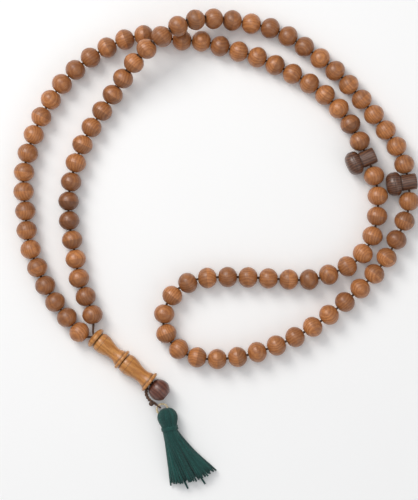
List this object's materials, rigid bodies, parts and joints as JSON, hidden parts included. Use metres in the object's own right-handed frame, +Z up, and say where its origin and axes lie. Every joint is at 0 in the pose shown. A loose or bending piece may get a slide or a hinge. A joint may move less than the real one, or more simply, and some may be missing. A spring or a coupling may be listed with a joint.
{
  "type": "prayer beads",
  "caption": "Looped string of round wooden prayer beads in three parts, with two turned markers, a turned leader, an end bead and a green yarn tassel.",
  "frame": {"origin": "middle of the laid-out object, on the table under it", "axes": "+Z up off the table; +Y from the tassel end towards the crossing at the far side; +X to the right of that"},
  "size_m": [0.1548, 0.1833, 0.0164],
  "materials": {
    "bead_wood": "satin lacquer",
    "leader_wood": "satin lacquer",
    "marker_wood": "satin lacquer",
    "end_bead_wood": "satin lacquer",
    "string": "matte",
    "brown_cord": "matte",
    "eye_thread": "matte",
    "tassel_yarn": "soft sheen"
  },
  "bodies": {
    "string_loop": {"string": "string"},
    "leader_strand_pair": {"leader_strings": "string"},
    "tassel_cord_body": {"tassel_cord": "brown_cord"},
    "tassel_body": {"tassel_eye": "eye_thread", "tassel_yarns": "tassel_yarn", "tassel_binding": "tassel_yarn"},
    "marker_one_body": {"marker_one": "marker_wood"},
    "marker_two_body": {"marker_two": "marker_wood"},
    "leader_cap_body": {"leader_cap": "leader_wood"},
    "leader_upper_vase_body": {"leader_upper_vase": "leader_wood"},
    "leader_lower_vase_body": {"leader_lower_vase": "leader_wood"},
    "end_bead_body": {"end_bead": "end_bead_wood"},
    "bead_01_body": {"bead_01": "bead_wood"},
    "bead_02_body": {"bead_02": "bead_wood"},
    "bead_03_body": {"bead_03": "bead_wood"},
    "bead_31_body": {"bead_31": "bead_wood"},
    "bead_32_body": {"bead_32": "bead_wood"},
    "bead_33_body": {"bead_33": "bead_wood"},
    "bead_34_body": {"bead_34": "bead_wood"},
    "bead_35_body": {"bead_35": "bead_wood"},
    "bead_36_body": {"bead_36": "bead_wood"},
    "bead_64_body": {"bead_64": "bead_wood"},
    "bead_65_body": {"bead_65": "bead_wood"},
    "bead_66_body": {"bead_66": "bead_wood"},
    "bead_67_body": {"bead_67": "bead_wood"},
    "bead_68_body": {"bead_68": "bead_wood"},
    "bead_69_body": {"bead_69": "bead_wood"},
    "bead_97_body": {"bead_97": "bead_wood"},
    "bead_98_body": {"bead_98": "bead_wood"},
    "bead_99_body": {"bead_99": "bead_wood"},
    "beads_04_to_06_body": {"beads_04_to_06": "bead_wood"},
    "beads_07_to_09_body": {"beads_07_to_09": "bead_wood"},
    "beads_10_to_12_body": {"beads_10_to_12": "bead_wood"},
    "beads_13_to_15_body": {"beads_13_to_15": "bead_wood"},
    "beads_16_to_18_body": {"beads_16_to_18": "bead_wood"},
    "beads_19_to_21_body": {"beads_19_to_21": "bead_wood"},
    "beads_22_to_24_body": {"beads_22_to_24": "bead_wood"},
    "beads_25_to_27_body": {"beads_25_to_27": "bead_wood"},
    "beads_28_to_30_body": {"beads_28_to_30": "bead_wood"},
    "beads_37_to_39_body": {"beads_37_to_39": "bead_wood"},
    "beads_40_to_42_body": {"beads_40_to_42": "bead_wood"},
    "beads_43_to_45_body": {"beads_43_to_45": "bead_wood"},
    "beads_46_to_48_body": {"beads_46_to_48": "bead_wood"},
    "beads_49_to_51_body": {"beads_49_to_51": "bead_wood"},
    "beads_52_to_54_body": {"beads_52_to_54": "bead_wood"},
    "beads_55_to_57_body": {"beads_55_to_57": "bead_wood"},
    "beads_58_to_60_body": {"beads_58_to_60": "bead_wood"},
    "beads_61_to_63_body": {"beads_61_to_63": "bead_wood"},
    "beads_70_to_72_body": {"beads_70_to_72": "bead_wood"},
    "beads_73_to_75_body": {"beads_73_to_75": "bead_wood"},
    "beads_76_to_78_body": {"beads_76_to_78": "bead_wood"},
    "beads_79_to_81_body": {"beads_79_to_81": "bead_wood"},
    "beads_82_to_84_body": {"beads_82_to_84": "bead_wood"},
    "beads_85_to_87_body": {"beads_85_to_87": "bead_wood"},
    "beads_88_to_90_body": {"beads_88_to_90": "bead_wood"},
    "beads_91_to_93_body": {"beads_91_to_93": "bead_wood"},
    "beads_94_to_96_body": {"beads_94_to_96": "bead_wood"}
  },
  "joints": [
    {"name": "leader_swing", "type": "hinge", "parent": "string_loop", "child": "leader_strand_pair", "pos_m": [-0.0462, -0.03367, 0.0043], "axis": [0, 0, 1], "range_deg": [-10, 10]},
    {"name": "tassel_cord_turn", "type": "hinge", "parent": "leader_strand_pair", "child": "tassel_cord_body", "pos_m": [-0.02485, -0.05115, 0.0043], "axis": [0.7738, -0.6334, 0], "range_deg": [-60, 60]},
    {"name": "tassel_swing", "type": "hinge", "parent": "tassel_cord_body", "child": "tassel_body", "pos_m": [-0.02035, -0.06129, 0.0038], "axis": [0, 0, 1], "range_deg": [-20, 20]},
    {"name": "marker_one_turn", "type": "hinge", "parent": "string_loop", "child": "marker_one_body", "pos_m": [0.05769, 0.0346, 0.00462], "axis": [-0.39, 0.9208, -0.0037], "range_deg": [-120, 120]},
    {"name": "marker_two_turn", "type": "hinge", "parent": "string_loop", "child": "marker_two_body", "pos_m": [0.0733, 0.02536, 0.0046], "axis": [0.1417, -0.9899, -0.0025], "continuous": true},
    {"name": "leader_cap_turn", "type": "hinge", "parent": "leader_strand_pair", "child": "leader_cap_body", "pos_m": [-0.0469, -0.0331, 0.0043], "axis": [0.7738, -0.6334, 0], "continuous": true},
    {"name": "leader_upper_vase_turn", "type": "hinge", "parent": "leader_strand_pair", "child": "leader_upper_vase_body", "pos_m": [-0.0469, -0.0331, 0.0043], "axis": [0.7738, -0.6334, 0], "continuous": true},
    {"name": "leader_lower_vase_turn", "type": "hinge", "parent": "leader_strand_pair", "child": "leader_lower_vase_body", "pos_m": [-0.0469, -0.0331, 0.0043], "axis": [0.7738, -0.6334, 0], "continuous": true},
    {"name": "end_bead_turn", "type": "hinge", "parent": "leader_strand_pair", "child": "end_bead_body", "pos_m": [-0.0469, -0.0331, 0.0043], "axis": [0.7738, -0.6334, 0], "continuous": true},
    {"name": "bead_01_turn", "type": "hinge", "parent": "string_loop", "child": "bead_01_body", "pos_m": [-0.047, -0.02509, 0.00403], "axis": [-0.1782, 0.9839, -0.0128], "continuous": true},
    {"name": "bead_02_turn", "type": "hinge", "parent": "string_loop", "child": "bead_02_body", "pos_m": [-0.04961, -0.01821, 0.004], "axis": [-0.4373, 0.8993, 0], "continuous": true},
    {"name": "bead_03_turn", "type": "hinge", "parent": "string_loop", "child": "bead_03_body", "pos_m": [-0.05217, -0.01127, 0.004], "axis": [-0.2275, 0.9738, 0], "continuous": true},
    {"name": "bead_31_turn", "type": "hinge", "parent": "string_loop", "child": "bead_31_body", "pos_m": [0.06473, 0.04517, 0.00411], "axis": [0.5845, -0.8113, 0.0128], "continuous": true},
    {"name": "bead_32_turn", "type": "hinge", "parent": "string_loop", "child": "bead_32_body", "pos_m": [0.06883, 0.03898, 0.00424], "axis": [0.501, -0.8652, 0.0221], "continuous": true},
    {"name": "bead_33_turn", "type": "hinge", "parent": "string_loop", "child": "bead_33_body", "pos_m": [0.07176, 0.03218, 0.00445], "axis": [0.2901, -0.9564, 0.0334], "continuous": true},
    {"name": "bead_34_turn", "type": "hinge", "parent": "string_loop", "child": "bead_34_body", "pos_m": [0.07361, 0.01805, 0.00441], "axis": [-0.0646, -0.9972, -0.0381], "continuous": true},
    {"name": "bead_35_turn", "type": "hinge", "parent": "string_loop", "child": "bead_35_body", "pos_m": [0.07193, 0.01053, 0.00415], "axis": [-0.3442, -0.9385, -0.0272], "continuous": true},
    {"name": "bead_36_turn", "type": "hinge", "parent": "string_loop", "child": "bead_36_body", "pos_m": [0.06885, 0.00341, 0.00401], "axis": [-0.4459, -0.8951, -0.0065], "continuous": true},
    {"name": "bead_64_turn", "type": "hinge", "parent": "string_loop", "child": "bead_64_body", "pos_m": [0.06147, 0.01241, 0.00403], "axis": [0.1262, 0.992, 0.0103], "continuous": true},
    {"name": "bead_65_turn", "type": "hinge", "parent": "string_loop", "child": "bead_65_body", "pos_m": [0.06173, 0.02015, 0.00418], "axis": [-0.0619, 0.9977, 0.0279], "continuous": true},
    {"name": "bead_66_turn", "type": "hinge", "parent": "string_loop", "child": "bead_66_body", "pos_m": [0.06028, 0.02774, 0.00445], "axis": [-0.2963, 0.9543, 0.0383], "continuous": true},
    {"name": "bead_67_turn", "type": "hinge", "parent": "string_loop", "child": "bead_67_body", "pos_m": [0.05484, 0.04097, 0.00444], "axis": [-0.4369, 0.8987, -0.0369], "continuous": true},
    {"name": "bead_68_turn", "type": "hinge", "parent": "string_loop", "child": "bead_68_body", "pos_m": [0.05127, 0.04746, 0.00418], "axis": [-0.5232, 0.8516, -0.0314], "continuous": true},
    {"name": "bead_69_turn", "type": "hinge", "parent": "string_loop", "child": "bead_69_body", "pos_m": [0.0469, 0.05342, 0.00402], "axis": [-0.6624, 0.7491, -0.0093], "continuous": true},
    {"name": "bead_97_turn", "type": "hinge", "parent": "string_loop", "child": "bead_97_body", "pos_m": [-0.06123, -0.02032, 0.004], "axis": [0.5845, -0.8114, 0], "continuous": true},
    {"name": "bead_98_turn", "type": "hinge", "parent": "string_loop", "child": "bead_98_body", "pos_m": [-0.05672, -0.0262, 0.004], "axis": [0.6011, -0.7992, 0], "continuous": true},
    {"name": "bead_99_turn", "type": "hinge", "parent": "string_loop", "child": "bead_99_body", "pos_m": [-0.05203, -0.0318, 0.00405], "axis": [0.776, -0.6304, 0.0221], "continuous": true},
    {"name": "beads_04_to_06_slide", "type": "slide", "parent": "string_loop", "child": "beads_04_to_06_body", "axis": [-0.1962, 0.9806, 0], "range_m": [-0.00005, 0.00005]},
    {"name": "beads_07_to_09_slide", "type": "slide", "parent": "string_loop", "child": "beads_07_to_09_body", "axis": [0.1927, 0.9813, 0], "range_m": [-0.00005, 0.00005]},
    {"name": "beads_10_to_12_slide", "type": "slide", "parent": "string_loop", "child": "beads_10_to_12_body", "axis": [0.5276, 0.8495, 0.0007], "range_m": [-0.00005, 0.00005]},
    {"name": "beads_13_to_15_slide", "type": "slide", "parent": "string_loop", "child": "beads_13_to_15_body", "axis": [0.5378, 0.7805, 0.3187], "range_m": [-0.00005, 0.00005]},
    {"name": "beads_16_to_18_slide", "type": "slide", "parent": "string_loop", "child": "beads_16_to_18_body", "axis": [0.8094, 0.5849, 0.0534], "range_m": [-0.00005, 0.00005]},
    {"name": "beads_19_to_21_slide", "type": "slide", "parent": "string_loop", "child": "beads_19_to_21_body", "axis": [0.9305, -0.0049, -0.3663], "range_m": [-0.00005, 0.00005]},
    {"name": "beads_22_to_24_slide", "type": "slide", "parent": "string_loop", "child": "beads_22_to_24_body", "axis": [0.9532, -0.3023, 0], "range_m": [-0.00005, 0.00005]},
    {"name": "beads_25_to_27_slide", "type": "slide", "parent": "string_loop", "child": "beads_25_to_27_body", "axis": [0.7903, -0.6127, 0], "range_m": [-0.00005, 0.00005]},
    {"name": "beads_28_to_30_slide", "type": "slide", "parent": "string_loop", "child": "beads_28_to_30_body", "axis": [0.6425, -0.7663, 0.0028], "range_m": [-0.00005, 0.00005]},
    {"name": "beads_37_to_39_slide", "type": "slide", "parent": "string_loop", "child": "beads_37_to_39_body", "axis": [-0.6556, -0.7551, 0], "range_m": [-0.00005, 0.00005]},
    {"name": "beads_40_to_42_slide", "type": "slide", "parent": "string_loop", "child": "beads_40_to_42_body", "axis": [-0.7874, -0.6165, 0], "range_m": [-0.00005, 0.00005]},
    {"name": "beads_43_to_45_slide", "type": "slide", "parent": "string_loop", "child": "beads_43_to_45_body", "axis": [-0.9288, -0.3706, 0], "range_m": [-0.00005, 0.00005]},
    {"name": "beads_46_to_48_slide", "type": "slide", "parent": "string_loop", "child": "beads_46_to_48_body", "axis": [-0.9996, -0.0293, 0], "range_m": [-0.00005, 0.00005]},
    {"name": "beads_49_to_51_slide", "type": "slide", "parent": "string_loop", "child": "beads_49_to_51_body", "axis": [-0.3801, 0.925, 0], "range_m": [-0.00005, 0.00005]},
    {"name": "beads_52_to_54_slide", "type": "slide", "parent": "string_loop", "child": "beads_52_to_54_body", "axis": [0.8967, 0.4426, 0], "range_m": [-0.00005, 0.00005]},
    {"name": "beads_55_to_57_slide", "type": "slide", "parent": "string_loop", "child": "beads_55_to_57_body", "axis": [0.9991, -0.0428, 0], "range_m": [-0.00005, 0.00005]},
    {"name": "beads_58_to_60_slide", "type": "slide", "parent": "string_loop", "child": "beads_58_to_60_body", "axis": [0.9955, 0.0947, 0], "range_m": [-0.00005, 0.00005]},
    {"name": "beads_61_to_63_slide", "type": "slide", "parent": "string_loop", "child": "beads_61_to_63_body", "axis": [0.6192, 0.7852, 0], "range_m": [-0.00005, 0.00005]},
    {"name": "beads_70_to_72_slide", "type": "slide", "parent": "string_loop", "child": "beads_70_to_72_body", "axis": [-0.849, 0.5284, 0], "range_m": [-0.00005, 0.00005]},
    {"name": "beads_73_to_75_slide", "type": "slide", "parent": "string_loop", "child": "beads_73_to_75_body", "axis": [-0.9351, 0.3545, 0], "range_m": [-0.00005, 0.00005]},
    {"name": "beads_76_to_78_slide", "type": "slide", "parent": "string_loop", "child": "beads_76_to_78_body", "axis": [-0.9909, 0.1345, 0], "range_m": [-0.00005, 0.00005]},
    {"name": "beads_79_to_81_slide", "type": "slide", "parent": "string_loop", "child": "beads_79_to_81_body", "axis": [-0.9954, -0.0962, 0], "range_m": [-0.00005, 0.00005]},
    {"name": "beads_82_to_84_slide", "type": "slide", "parent": "string_loop", "child": "beads_82_to_84_body", "axis": [-0.8177, -0.5757, 0], "range_m": [-0.00005, 0.00005]},
    {"name": "beads_85_to_87_slide", "type": "slide", "parent": "string_loop", "child": "beads_85_to_87_body", "axis": [-0.531, -0.8473, 0], "range_m": [-0.00005, 0.00005]},
    {"name": "beads_88_to_90_slide", "type": "slide", "parent": "string_loop", "child": "beads_88_to_90_body", "axis": [-0.2511, -0.968, 0], "range_m": [-0.00005, 0.00005]},
    {"name": "beads_91_to_93_slide", "type": "slide", "parent": "string_loop", "child": "beads_91_to_93_body", "axis": [0.0788, -0.9969, 0], "range_m": [-0.00005, 0.00005]},
    {"name": "beads_94_to_96_slide", "type": "slide", "parent": "string_loop", "child": "beads_94_to_96_body", "axis": [0.3764, -0.9265, 0], "range_m": [-0.00005, 0.00005]}
  ]
}
